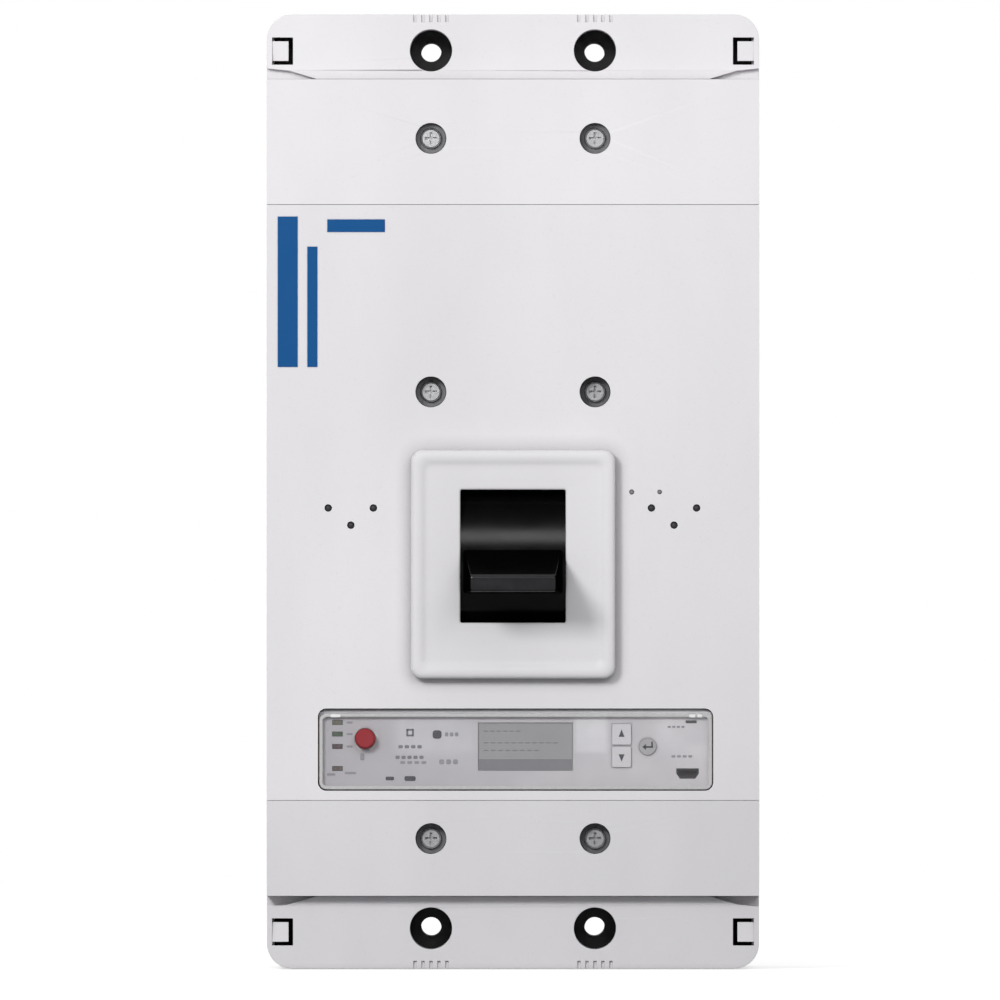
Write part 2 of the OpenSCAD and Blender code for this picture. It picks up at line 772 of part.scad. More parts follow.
// A round-wire coil about Z, closed at both ends.
module coil(radius, wire, turns, height, sides = 6, steps = 10) {
    rings = turns * steps;
    points = [for (i = [0:rings]) each coil_ring(360 * i / steps, radius, wire, height / turns, sides)];
    walls = [for (i = [0:rings - 1], k = [0:sides - 1])
        [i * sides + (k + 1) % sides, (i + 1) * sides + (k + 1) % sides, (i + 1) * sides + k, i * sides + k]];
    polyhedron(points, concat(walls,
        [[for (k = [sides - 1:-1:0]) k]], [[for (k = [0:sides - 1]) rings * sides + k]]));
}

// Over-centre springs from the toggle pin to the yoke's anchor pin.
module main_springs() {
    anchor = handle_c + 34 * [cos(90 + handle_rest), sin(90 + handle_rest)];
    span = norm(anchor - toggle_at);
    turn = atan2(anchor[1] - toggle_at[1], anchor[0] - toggle_at[0]);
    color([0.5, 0.51, 0.53]) for (x = [-4.6, 4.6]) side_axes() translate([toggle_at[0], toggle_at[1], x])
        rotate([0, 0, turn]) {
            for (at = [0, span]) translate([at, 0, 0])
                rotate_extrude($fn = 20) translate([2.8, 0]) circle(r = 0.6, $fn = 8);
            for (at = [3.7, span - 3.7]) translate([at, 0, -3.2]) cylinder(r = 0.6, h = 3.2, $fn = 8);
            translate([4.2, 0, 0]) rotate([0, 90, 0]) coil(3.2, 0.6, 7, span - 8.4);
        }
}

module trip_latch() {
    color([0.7, 0.71, 0.73]) difference() {
        across(-14, 14) {
            translate(latch_c) circle(r = 5);
            polygon([
                [-71.5, 66], [-65, 66], [-65.2, 72], [-63.55, 75.5], [-60.45, 80.2], [-57.2, 85.2],
                [-60, 88.5], [-66, 91], [-71.5, 91]
            ]);
        }
        rod(latch_c, 2.55, -15, 15);
    }
}

// Trip shaft, flattened in the middle where the latch turns past it, with two levers.
module trip_bar() {
    color([0.82, 0.8, 0.74]) {
        difference() {
            rod(trip_c, 4, -70, 45);
            block([-15, 15], [trip_c[0] + 1.5, trip_c[0] + 5], [trip_c[1] - 5, trip_c[1] + 5]);
        }
        for (x = [trip_button[0], actuator[0]]) across(x - 3.5, x + 3.5)
            polygon([[trip_c[0], 86], [-109, 86], [-109, 90], [trip_c[0], 90]]);
    }
}

// ---------- Trip unit ----------

module trip_unit_housing() {
    color([0.12, 0.12, 0.13]) difference() {
        block([-81.5, 83.5], [-128, -90], [96, panel_d - 2.8]);
        block([-79.5, 81.5], [-126, -92], [98, 128]);
        post(trip_button, 2.8, 95, 99);
        post(actuator, 2.9, 95, 99);
    }
}

module trip_unit_faceplate() {
    color([0.68, 0.68, 0.71]) difference() {
        forward(panel_d - 2.7, panel_d) round_rect(panel_size, panel_r, panel_mid);
        block(lcd_x, lcd_z, [panel_d - 3, panel_d + 1]);
        for (p = key_points) forward(panel_d - 3, panel_d + 1) round_rect(key_size, 0.8, p);
        post(enter_key, enter_r + 0.15, panel_d - 3, panel_d + 1);
        post(trip_button, 4.45, panel_d - 3, panel_d + 1);
        for (z = led_z) led(z, gap, [panel_d - 3, panel_d + 1]);
        forward(panel_d - 3, panel_d + 1) usb_outline(gap);
    }
}

module circuit_board() {
    color([0.08, 0.32, 0.17]) difference() {
        block([-79, 81], [-125.5, -92.5], [118, 119.6]);
        post(trip_button, 3.2, 117, 121);
    }
    color([0.1, 0.1, 0.1]) {
        block([-45, -31], [-116, -102], [115.4, 118 - slip]);
        block([-20, -8], [-122, -114], [115.8, 118 - slip]);
        block([50, 62], [-112, -98], [112, 118 - slip]);
        for (i = [0:4]) post([-2 + 4.5 * i, -98], 1.8, 112 - 0.2 * i, 118 - slip);
    }
}

module lcd_module() {
    color([0.58, 0.59, 0.6]) {
        block([lcd_x[0] - 2, lcd_x[1] + 2], [lcd_z[0] - 2, lcd_z[1] + 2], [121, panel_d - 2.8]);
        block([lcd_x[0] + 0.15, lcd_x[1] - 0.15], [lcd_z[0] + 0.15, lcd_z[1] - 0.15], [125, panel_d - 0.8]);
    }
}

// Light guide of one status lamp, wider by spare on each side.
module led(z, spare, d) {
    half = led_half + [spare, spare];
    block([led_x - half[0], led_x + half[0]], [z - half[1], z + half[1]], d);
}

module status_leds() {
    color([0.3, 0.45, 0.32]) for (z = led_z) led(z, 0, [119.7, panel_d - 0.2]);
}

// Outline of the data socket, narrow at its lower edge and wider by spare on each side.
module usb_outline(spare) {
    top = 4.6 + spare;
    low = 3.1 + spare;
    rise = 2 + spare;
    corners = [[-top, rise], [top, rise], [top, 0], [low, -rise], [-low, -rise], [-top, 0]];
    polygon([for (p = corners) usb_at + p]);
}

module usb_socket() {
    color([0.15, 0.15, 0.17]) difference() {
        forward(119.7, panel_d - 0.6) usb_outline(0);
        forward(123, panel_d) usb_outline(-0.6);
    }
}

module push_to_trip_button() {
    color([0.62, 0.12, 0.13]) {
        post(trip_button, 4.25, 124, 133.2);
        translate([trip_button[0], -133.2, trip_button[1]]) rotate([90, 0, 0])
            cylinder(r1 = 4.25, r2 = 3.5, h = 0.8);
        post(trip_button, 2.4, 90.1, 124.5);
    }
}

// A key with a flange that stops it falling out of the faceplate.
module key(at) {
    forward(121, 129.3) round_rect(key_size - [0.3, 0.3], 0.7, at);
    forward(123.4, 125.5) round_rect(key_size + [1, -0.2], 0.7, at);
}

module up_button() {
    color([0.93, 0.93, 0.94]) key(key_points[0]);
}

module down_button() {
    color([0.93, 0.93, 0.94]) key(key_points[1]);
}

module enter_button() {
    color([0.75, 0.75, 0.77]) {
        post(enter_key, enter_r, 121, 129.3);
        post(enter_key, enter_r + 0.7, 123.4, 125.5);
    }
}

module trip_actuator() {
    color([0.35, 0.35, 0.37]) difference() {
        union() {
            post(actuator, 9, 98 + slip, 115);
            post(actuator, 4.5, 114, 117.4);
        }
        post(actuator, 2.6, 97, 113);
    }
}

module actuator_plunger() {
    color([0.7, 0.71, 0.73]) post(actuator, 2.5, 90.1, 109);
}

// Clear cover over the faceplate, with a hole for the trip button and trunnions at its top corners.
module trip_window() {
    size = [panel_size[0] - 0.4, window_hinge[0] - panel_z[0] - 0.2];
    mid = [panel_mid[0], (window_hinge[0] + panel_z[0] + 0.2) / 2];
    x = [panel_mid[0] - size[0] / 2, panel_mid[0] + size[0] / 2];
    color([0.85, 0.88, 0.9, 0.35]) difference() {
        union() {
            forward(window_d[0], window_d[1]) round_rect(size, panel_r - 0.2, mid);
            rod(window_hinge, 0.8, x[0] + 2.5, x[1] - 2.5);
            rod(window_hinge, 0.5, x[0] - 2.2, x[1] + 2.2);
        }
        post(trip_button, 5.4, window_d[0] - 1, window_d[1] + 1);
    }
}

base();
primary_cover();
front_cover();
bezel();
terminal_shield(1);  // line_terminal_shield
terminal_shield(-1);  // load_terminal_shield
primary_cover_screws();
front_cover_screws();
cover_inserts();
accent_label();
line_conductor(-1);  // line_conductor_left
line_conductor(0);  // line_conductor_center
line_conductor(1);  // line_conductor_right
load_conductor(-1);  // load_conductor_left
load_conductor(0);  // load_conductor_center
load_conductor(1);  // load_conductor_right
fixed_contact_tips();
contact_arm(-1);  // contact_arm_left
contact_arm(0);  // contact_arm_center
contact_arm(1);  // contact_arm_right
contact_tip(-1);  // contact_tip_left
contact_tip(0);  // contact_tip_center
contact_tip(1);  // contact_tip_right
flex_shunts();
arc_plates(-1);  // arc_plates_left
arc_plates(0);  // arc_plates_center
arc_plates(1);  // arc_plates_right
arc_side_boards();
ct_cores();
ct_coils();
terminal_nuts();
crossbar();
crossbar_pins();
side_frame(-1);  // side_frame_left
side_frame(1);  // side_frame_right
frame_spacers();
frame_screws();
mechanism_pins();
handle_yoke();
handle();
cradle();
upper_links();
lower_links();
toggle_pin();
main_springs();
trip_latch();
trip_bar();
trip_unit_housing();
trip_unit_faceplate();
circuit_board();
lcd_module();
status_leds();
usb_socket();
push_to_trip_button();
up_button();
down_button();
enter_button();
trip_actuator();
actuator_plunger();
trip_window();
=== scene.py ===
"""Looks for the molded case breaker: materials, rounded edges, printed marks, light and camera."""
import math

import bmesh
import bpy
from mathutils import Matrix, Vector


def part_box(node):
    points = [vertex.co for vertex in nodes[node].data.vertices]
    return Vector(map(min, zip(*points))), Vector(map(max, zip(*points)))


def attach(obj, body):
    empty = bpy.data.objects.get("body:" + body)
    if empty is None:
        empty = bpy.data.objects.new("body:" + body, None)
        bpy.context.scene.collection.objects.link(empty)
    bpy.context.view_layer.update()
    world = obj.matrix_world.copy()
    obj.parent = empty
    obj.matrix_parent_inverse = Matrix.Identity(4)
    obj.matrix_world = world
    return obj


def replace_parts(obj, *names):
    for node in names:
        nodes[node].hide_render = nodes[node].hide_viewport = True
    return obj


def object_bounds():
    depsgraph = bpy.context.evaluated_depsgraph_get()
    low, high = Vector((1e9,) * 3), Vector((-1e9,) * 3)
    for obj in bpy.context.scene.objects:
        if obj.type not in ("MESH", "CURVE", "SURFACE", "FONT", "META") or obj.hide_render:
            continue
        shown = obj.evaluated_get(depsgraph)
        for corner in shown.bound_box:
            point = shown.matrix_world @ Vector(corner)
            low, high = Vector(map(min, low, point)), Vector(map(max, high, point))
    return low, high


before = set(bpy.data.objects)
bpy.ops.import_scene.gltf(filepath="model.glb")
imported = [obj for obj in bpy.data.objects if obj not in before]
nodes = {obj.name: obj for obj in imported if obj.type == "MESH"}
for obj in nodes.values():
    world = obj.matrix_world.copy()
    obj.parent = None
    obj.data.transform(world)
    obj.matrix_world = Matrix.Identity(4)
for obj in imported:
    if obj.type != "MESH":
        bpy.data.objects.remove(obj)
cad_low, cad_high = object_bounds()
MM = 0.001
POLE = 69.85

# ---------------------------------------------------------------- node helpers


def shade(color, factor, plus=0.0):
    """The colour made darker or lighter."""
    return tuple(min(1, c * factor + plus) for c in color)


class Shader:
    """A material and short calls for the nodes that this scene uses."""

    def __init__(self, name):
        self.mat = bpy.data.materials.new(name)
        self.mat.use_nodes = True
        self.tree = self.mat.node_tree
        self.tree.nodes.clear()
        self.out = self.add("ShaderNodeOutputMaterial")
        self.coords = self.add("ShaderNodeTexCoord").outputs["Object"]

    def add(self, kind, **settings):
        node = self.tree.nodes.new(kind)
        for key, value in settings.items():
            setattr(node, key, value)
        return node

    def feed(self, socket, value):
        if isinstance(value, bpy.types.NodeSocket):
            self.tree.links.new(value, socket)
        elif isinstance(value, (tuple, list)) and len(value) == 3 and socket.type == "RGBA":
            socket.default_value = (*value, 1)
        else:
            socket.default_value = value

    def stretched(self, scale):
        node = self.add("ShaderNodeMapping")
        self.feed(node.inputs["Vector"], self.coords)
        node.inputs["Scale"].default_value = scale
        return node.outputs["Vector"]

    def noise(self, scale, detail=3, rough=0.5, stretch=None, distortion=0):
        node = self.add("ShaderNodeTexNoise")
        self.feed(node.inputs["Vector"], self.stretched(stretch) if stretch else self.coords)
        values = {"Scale": scale, "Detail": detail, "Roughness": rough, "Distortion": distortion}
        for key, value in values.items():
            node.inputs[key].default_value = value
        return node.outputs["Fac"]

    def cells(self, scale, feature="F1", stretch=None):
        node = self.add("ShaderNodeTexVoronoi", feature=feature)
        self.feed(node.inputs["Vector"], self.stretched(stretch) if stretch else self.coords)
        node.inputs["Scale"].default_value = scale
        return node.outputs["Distance"]

    def wave(self, scale, direction="X", distortion=0.0, profile="SIN"):
        node = self.add("ShaderNodeTexWave", bands_direction=direction, wave_profile=profile)
        self.feed(node.inputs["Vector"], self.coords)
        node.inputs["Scale"].default_value = scale
        node.inputs["Distortion"].default_value = distortion
        node.inputs["Detail"].default_value = 1
        return node.outputs["Fac"]

    def remap(self, value, low, high, to_low, to_high):
        node = self.add("ShaderNodeMapRange")
        for i, item in enumerate((value, low, high, to_low, to_high)):
            self.feed(node.inputs[i], item)
        return node.outputs["Result"]

    def math(self, operation, a, b=0.0):
        node = self.add("ShaderNodeMath", operation=operation)
        self.feed(node.inputs[0], a)
        self.feed(node.inputs[1], b)
        return node.outputs["Value"]

    def mix(self, factor, a, b, blend="MIX"):
        node = self.add("ShaderNodeMix", data_type="RGBA", blend_type=blend)
        self.feed(node.inputs["Factor"], factor)
        self.feed(node.inputs[6], a)
        self.feed(node.inputs[7], b)
        return node.outputs[2]

    def axis(self, name):
        node = self.add("ShaderNodeSeparateXYZ")
        self.feed(node.inputs[0], self.coords)
        return node.outputs[name]

    def bump(self, height, strength, distance):
        node = self.add("ShaderNodeBump")
        self.feed(node.inputs["Height"], height)
        node.inputs["Strength"].default_value = strength
        node.inputs["Distance"].default_value = distance
        return node.outputs["Normal"]

    def edge(self, radius, low=0.03, high=0.25):
        """1 on convex and concave corners within the radius, 0 on flats."""
        round_off = self.add("ShaderNodeBevel", samples=4)
        round_off.inputs["Radius"].default_value = radius
        dot = self.add("ShaderNodeVectorMath", operation="DOT_PRODUCT")
        self.feed(dot.inputs[0], round_off.outputs["Normal"])
        self.feed(dot.inputs[1], self.add("ShaderNodeNewGeometry").outputs["Normal"])
        return self.remap(self.math("SUBTRACT", 1.0, dot.outputs["Value"]), low, high, 0, 1)

    def zone(self, x, z, soft=2.0):
        """1 inside a box on the front, given in millimetres, fading out over soft."""
        factor = 1.0
        half = soft / 2
        for name, (low, high) in (("X", x), ("Z", z)):
            place = self.math("MULTIPLY", self.axis(name), 1 / MM)
            rise = self.remap(place, low - half, low + half, 0, 1)
            factor = self.math("MULTIPLY", factor, rise)
            fade = self.remap(place, high - half, high + half, 1, 0)
            factor = self.math("MULTIPLY", factor, fade)
        return factor

    def hollow(self, distance):
        """1 deep in a corner or groove, 0 in the open."""
        node = self.add("ShaderNodeAmbientOcclusion", samples=4)
        node.inputs["Distance"].default_value = distance
        return self.remap(node.outputs["AO"], 0.35, 0.95, 1, 0)

    def finish(self, color, rough, metal=0.0, normal=None, **more):
        node = self.add("ShaderNodeBsdfPrincipled")
        self.feed(node.inputs["Base Color"], color)
        self.feed(node.inputs["Roughness"], rough)
        self.feed(node.inputs["Metallic"], metal)
        if normal is not None:
            self.feed(node.inputs["Normal"], normal)
        for key, value in more.items():
            self.feed(node.inputs[key.replace("_", " ")], value)
        self.feed(self.out.inputs["Surface"], node.outputs[0])
        return self.mat


def moulded(name, color, rough=0.5, grain=0.35, corner_shade=0.35, wear=0.12, spec=0.4, reach=0.003):
    """Moulded plastic: fine spark-eroded grain, faint flow marks, painted shade in corners and
    grooves, rubbed edges.
    """
    s = Shader(name)
    flow = s.noise(9, 4, 0.55, stretch=(1, 1, 0.35))
    speck = s.noise(900, 2)
    # Painted shade: deep in corners and grooves the colour is darkened, as shade would fall there.
    painted_corner_shade = s.math("MULTIPLY", s.hollow(reach), corner_shade)
    rubbed = s.math("MULTIPLY", s.edge(0.0006), wear)
    base = s.mix(s.remap(flow, 0.3, 0.7, 0, 1), shade(color, 0.93), shade(color, 1.04, 0.004))
    base = s.mix(s.remap(speck, 0.62, 0.75, 0, 0.25), base, shade(color, 0.82))
    base = s.mix(painted_corner_shade, base, shade(color, 0.3))
    base = s.mix(rubbed, base, shade(color, 1.25, 0.03))
    relief = s.math("ADD", s.noise(2600, 3, 0.6), s.math("MULTIPLY", s.cells(1500), 0.6))
    roughness = s.remap(s.noise(60, 3), 0.3, 0.7, rough - 0.05, rough + 0.06)
    normal = s.bump(relief, grain, 0.00006)
    return s.finish(base, roughness, 0, normal, Specular_IOR_Level=spec)


def metal(name, color, rough=0.3, tarnish=0.25, stretch=(1, 1, 30), scratch=0.25, spots=0.0):
    """Drawn or plated metal: fine lines along one way, patchy tarnish, brighter edges."""
    s = Shader(name)
    patch = s.noise(45, 5, 0.6)
    lines = s.noise(900, 3, 0.6, stretch=stretch)
    base = s.mix(s.remap(patch, 0.35, 0.7, 0, tarnish), color, shade(color, 0.55))
    base = s.mix(s.remap(lines, 0.4, 0.7, 0, 0.2), base, shade(color, 0.7))
    if spots:
        base = s.mix(s.remap(s.cells(260), 0.0, 0.22, spots, 0), base, shade(color, 0.35))
    base = s.mix(s.math("MULTIPLY", s.edge(0.0004), 0.3), base, shade(color, 1.2, 0.05))
    roughness = s.remap(patch, 0.3, 0.75, rough - 0.07, rough + 0.14)
    height = s.math("ADD", s.math("MULTIPLY", lines, 0.7), s.noise(2200, 2))
    return s.finish(base, roughness, 1.0, s.bump(height, scratch, 0.00004))


# ---------------------------------------------------------------- materials

CASE = (0.76, 0.745, 0.765)
M = {}
# The moulded materials below are darkened in corners and grooves as painted shade; on the front
# cover it is strongest and reaches furthest, painting the shadow round the raised bezel.
M["case"] = moulded("moulded_light_grey", CASE, 0.52, corner_shade=0.2, spec=0.22)
M["cover"] = moulded("moulded_front_cover", CASE, 0.52, corner_shade=0.6, reach=0.007, spec=0.22)
M["bezel"] = moulded("moulded_bezel_grey", (0.75, 0.737, 0.755), 0.45, grain=0.25, spec=0.25)
M["base"] = moulded("moulded_black_base", (0.022, 0.022, 0.024), 0.5, grain=0.5, corner_shade=0.2,
                    wear=0.25)
M["dark"] = moulded("moulded_dark", (0.035, 0.035, 0.04), 0.5, corner_shade=0.2)
M["crossbar"] = moulded("moulded_brown", (0.05, 0.022, 0.014), 0.4, grain=0.3)
M["tripbar"] = moulded("moulded_cream", (0.62, 0.58, 0.48), 0.45)
M["key"] = moulded("moulded_white_key", (0.95, 0.94, 0.96), 0.42, grain=0.15, corner_shade=0.3)
M["screw"] = metal("zinc_screw", (0.43, 0.43, 0.44), 0.45, tarnish=0.3, stretch=(1, 30, 1))
# Painted shade: dark metal for the rings that stand in for the shade in the cover screws'
# counterbores.
M["shade_ring_dark"] = metal("painted_counterbore_shade", (0.16, 0.16, 0.165), 0.5, tarnish=0.4, stretch=(1, 1, 1))
M["zinc"] = metal("zinc_plate", (0.66, 0.67, 0.7), 0.32, tarnish=0.35)
M["yellow_zinc"] = metal("yellow_zinc_plate", (0.72, 0.62, 0.36), 0.34, tarnish=0.35)
M["copper"] = metal("bare_copper", (0.78, 0.4, 0.24), 0.3, tarnish=0.55, stretch=(1, 1, 0.05))
M["braid"] = metal("laminated_copper", (0.7, 0.34, 0.2), 0.4, tarnish=0.4)
M["silver"] = metal("silver_alloy", (0.82, 0.81, 0.78), 0.38, tarnish=0.4, spots=0.3)
M["steel"] = metal("chute_steel", (0.45, 0.46, 0.48), 0.42, tarnish=0.5, spots=0.25)
M["iron"] = metal("core_laminations", (0.34, 0.35, 0.38), 0.5, tarnish=0.4, stretch=(1, 1, 1))
M["brass"] = metal("insert_brass", (0.72, 0.52, 0.24), 0.34)
M["spring"] = metal("spring_wire", (0.4, 0.4, 0.42), 0.3)
M["coil"] = metal("enamelled_coil", (0.42, 0.16, 0.07), 0.35, tarnish=0.3, stretch=(1, 1, 1))
M["blue"] = moulded("printed_blue", (0.001, 0.082, 0.265), 0.45, grain=0.2, corner_shade=0.1, wear=0.05,
                    spec=0.12)
M["red"] = moulded("moulded_red", (0.3, 0.022, 0.03), 0.32, grain=0.15, corner_shade=0.25)


def handle_plastic():
    """Satin black: matt on the lever's sides, with a lighter grey painted on the tip's face as
    painted light.
    """
    s = Shader("moulded_black_handle")
    split = s.add("ShaderNodeSeparateXYZ")
    s.feed(split.inputs[0], s.add("ShaderNodeNewGeometry").outputs["Normal"])
    side = s.math("GREATER_THAN", s.math("ABSOLUTE", split.outputs["X"]), 0.3)
    patch = s.noise(150, 4, 0.6)
    # Painted light: the tip's face is painted a lighter grey, as if lit.
    front_end = s.remap(s.axis("Y"), -0.1785, -0.1796, 0, 1)
    tip = s.math("MULTIPLY", front_end, s.remap(patch, 0.2, 0.6, 0.7, 1))
    painted_tip_light = s.math("MULTIPLY", tip, s.math("SUBTRACT", 1.0, side))
    base = s.mix(s.remap(patch, 0.3, 0.7, 0, 1), (0.0007, 0.0006, 0.0008), (0.0014, 0.0013, 0.0016))
    base = s.mix(painted_tip_light, base, (0.024, 0.023, 0.025))
    polish = s.remap(s.noise(60, 3), 0.3, 0.7, 0.16, 0.21)
    rough = s.math("ADD", polish, s.math("MULTIPLY", side, 0.3))
    grain = s.math("ADD", s.noise(2600, 3, 0.6), s.math("MULTIPLY", s.cells(1500), 0.6))
    level = s.remap(side, 0, 1, 0.22, 0)
    return s.finish(base, rough, 0, s.bump(grain, 0.2, 0.00004), Specular_IOR_Level=level)


def fibre():
    s = Shader("fibre_board")
    strands = s.noise(500, 4, 0.7, stretch=(1, 6, 1))
    base = s.mix(s.remap(strands, 0.35, 0.7, 0, 1), (0.5, 0.4, 0.25), (0.66, 0.56, 0.38))
    return s.finish(base, 0.7, 0, s.bump(strands, 0.4, 0.0001))


def board():
    s = Shader("green_circuit_board")
    tracks = s.math("GREATER_THAN", s.wave(160, "X", 6), 0.82)
    base = s.mix(tracks, (0.012, 0.11, 0.045), (0.03, 0.2, 0.08))
    base = s.mix(s.remap(s.noise(120, 2), 0.4, 0.7, 0, 0.4), base, (0.008, 0.07, 0.03))
    return s.finish(base, 0.3, 0, s.bump(tracks, 0.3, 0.00005), Coat_Weight=0.3)


def panel():
    """Printed overlay of the trip unit: grey, mottled, with lighter fields and painted shade at its
    edges.
    """
    s = Shader("panel_overlay")
    across = s.remap(s.axis("X"), -0.08, 0.08, 0, 1)
    base = s.mix(across, (0.565, 0.553, 0.578), (0.775, 0.762, 0.777))
    for x, z, soft, strength, color in (((-50, -16), (-111, -96), 5, 0.6, (0.76, 0.76, 0.79)),
                                        ((26.5, 40), (-111, -95.5), 2, 0.8, (0.9, 0.9, 0.91)),
                                        ((62, 84), (-112, -95), 6, 0.5, (0.86, 0.86, 0.87))):
        base = s.mix(s.math("MULTIPLY", s.zone(x, z, soft), strength), base, color)
    base = s.mix(s.remap(s.noise(70, 3), 0.35, 0.65, 0, 0.22), base, (0.46, 0.46, 0.48))
    # Painted shade: darker deep in the corners along the panel's edges, standing in for the shade of
    # the window's gap.
    base = s.mix(s.math("MULTIPLY", s.hollow(0.0015), 0.4), base, (0.12, 0.12, 0.12))
    return s.finish(base, 0.42, 0, s.bump(s.noise(2400, 2), 0.15, 0.00004))


def display(name, bright, dark):
    """Reflective display: fine rows of segments under a glossy pane."""
    s = Shader(name)
    rows = s.wave(260, "Z")
    dots = s.math("MULTIPLY", rows, s.wave(260, "X"))
    base = s.mix(s.remap(dots, 0.2, 0.8, 0, 0.35), bright, dark)
    base = s.mix(s.remap(s.noise(60, 2), 0.4, 0.7, 0, 0.25), base, dark)
    return s.finish(base, 0.22, 0, None, Coat_Weight=0.3, Coat_Roughness=0.1)


def lamps():
    """Four light guides, each tinted by its place in the column."""
    s = Shader("indicator_lenses")
    height = s.math("MULTIPLY", s.axis("Z"), 1 / MM)
    base = s.mix(s.math("GREATER_THAN", height, -100.7), (0.06, 0.11, 0.06), (0.15, 0.145, 0.09))
    base = s.mix(s.math("LESS_THAN", height, -105.9), base, (0.1, 0.055, 0.065))
    base = s.mix(s.math("LESS_THAN", height, -113), base, (0.12, 0.085, 0.08))
    base = s.mix(s.remap(s.noise(900, 2), 0.4, 0.7, 0, 0.3), base, (0.3, 0.3, 0.28))
    return s.finish(base, 0.25, 0, s.bump(s.noise(1500, 2), 0.2, 0.00005), Coat_Weight=0.4)


def printed(name, color, rough=0.45):
    """Ink: a slightly broken flat tone with a faint relief."""
    s = Shader(name)
    patch = s.noise(700, 3, 0.6)
    base = s.mix(s.remap(patch, 0.45, 0.75, 0, 0.3), color, shade(color, 1.5, 0.02))
    roughness = s.remap(patch, 0.3, 0.7, rough - 0.06, rough + 0.08)
    return s.finish(base, roughness, 0, s.bump(patch, 0.1, 0.00003))


def window():
    """Clear cover: lets shadows through, reflects like a thin sheet."""
    s = Shader("clear_window")
    clear = s.add("ShaderNodeBsdfTransparent")
    clear.inputs["Color"].default_value = (0.965, 0.962, 0.965, 1)
    shine = s.add("ShaderNodeBsdfPrincipled")
    shine.inputs["Base Color"].default_value = (0.82, 0.81, 0.83, 1)
    s.feed(shine.inputs["Roughness"], s.remap(s.noise(80, 3), 0.4, 0.7, 0.05, 0.16))
    mix = s.add("ShaderNodeMixShader")
    facing = s.add("ShaderNodeLayerWeight")
    facing.inputs["Blend"].default_value = 0.35
    s.feed(mix.inputs[0], s.remap(facing.outputs["Facing"], 0, 1, 0.035, 0.6))
    s.feed(mix.inputs[1], clear.outputs[0])
    s.feed(mix.inputs[2], shine.outputs[0])
    s.feed(s.out.inputs["Surface"], mix.outputs[0])
    return s.mat


for look, make in (("fibre", fibre), ("board", board), ("panel", panel), ("window", window),
                   ("lamps", lamps), ("handle", handle_plastic)):
    M[look] = make()
M["display"] = display("display_glass", (0.41, 0.412, 0.415), (0.32, 0.322, 0.325))
M["display_dark"] = display("display_bar", (0.27, 0.27, 0.285), (0.2, 0.2, 0.215))
M["ink_dark"] = printed("ink_dark_grey", (0.055, 0.055, 0.065))
M["ink_mid"] = printed("ink_mid_grey", (0.2, 0.2, 0.215))
M["ink_pale"] = printed("ink_pale_grey", (0.3, 0.3, 0.32))
# Not print: a grey that paints the shade of the gap round the clear window.
M["painted_gap_shade"] = printed("painted_gap_shade_grey", (0.49, 0.49, 0.49))
# Not print: a white that paints glints on the clear window.
M["painted_glint_white"] = printed("painted_glint_white", (0.78, 0.78, 0.78))

POLES = ("left", "center", "right")
LOOKS = {
    "cover": ["front_cover"],
    "case": ["primary_cover", "line_terminal_shield", "load_terminal_shield"],
    "bezel": ["bezel"],
    "base": ["base"],
    "screw": ["primary_cover_screws", "front_cover_screws", "frame_screws"],
    "brass": ["cover_inserts"],
    "blue": ["accent_label"],
    "copper": [f"{kind}_{pole}" for kind in ("line_conductor", "load_conductor", "contact_arm")
               for pole in POLES],
    "silver": ["fixed_contact_tips"] + [f"contact_tip_{pole}" for pole in POLES],
    "braid": ["flex_shunts"],
    "steel": [f"arc_plates_{pole}" for pole in POLES],
    "fibre": ["arc_side_boards"],
    "iron": ["ct_cores"],
    "coil": ["ct_coils"],
    "zinc": ["terminal_nuts", "crossbar_pins", "frame_spacers", "mechanism_pins", "handle_yoke",
             "cradle", "upper_links", "lower_links", "toggle_pin", "trip_latch", "actuator_plunger"],
    "crossbar": ["crossbar"],
    "yellow_zinc": ["side_frame_left", "side_frame_right"],
    "handle": ["handle"],
    "spring": ["main_springs"],
    "tripbar": ["trip_bar"],
    "dark": ["trip_unit_housing", "usb_socket", "trip_actuator"],
    "lamps": ["status_leds"],
    "panel": ["trip_unit_faceplate", "enter_button"],
    "board": ["circuit_board"],
    "display": ["lcd_module"],
    "red": ["push_to_trip_button"],
    "key": ["up_button", "down_button"],
    "window": ["trip_window"],
}
for look, names in LOOKS.items():
    for name in names:
        mesh = nodes[name].data
        mesh.materials.clear()
        mesh.materials.append(M[look])


def soften(name, width, segments=2, angle=30):
    """Rounds the sharp corners of a CAD node with modifiers only."""
    obj = nodes[name]
    weld = obj.modifiers.new("weld", "WELD")
    weld.merge_threshold = 1e-6
    bevel = obj.modifiers.new("bevel", "BEVEL")
    bevel.width = width * MM
    bevel.segments = segments
    bevel.limit_method = "ANGLE"
    bevel.angle_limit = math.radians(angle)
    bevel.harden_normals = True


for name, width in (("primary_cover", 0.5), ("front_cover", 0.5), ("line_terminal_shield", 0.5),
                    ("load_terminal_shield", 0.5), ("base", 0.8), ("push_to_trip_button", 0.3),
                    ("up_button", 0.3), ("down_button", 0.3), ("enter_button", 0.3),
                    ("trip_unit_faceplate", 0.2), ("crossbar", 0.4)):
    soften(name, width)

# ---------------------------------------------------------------- piece helpers
# Points are given in millimetres as (x, z, d), where d is the distance forward of the back face.


def at(x, z, d):
    return (x * MM, -d * MM, z * MM)


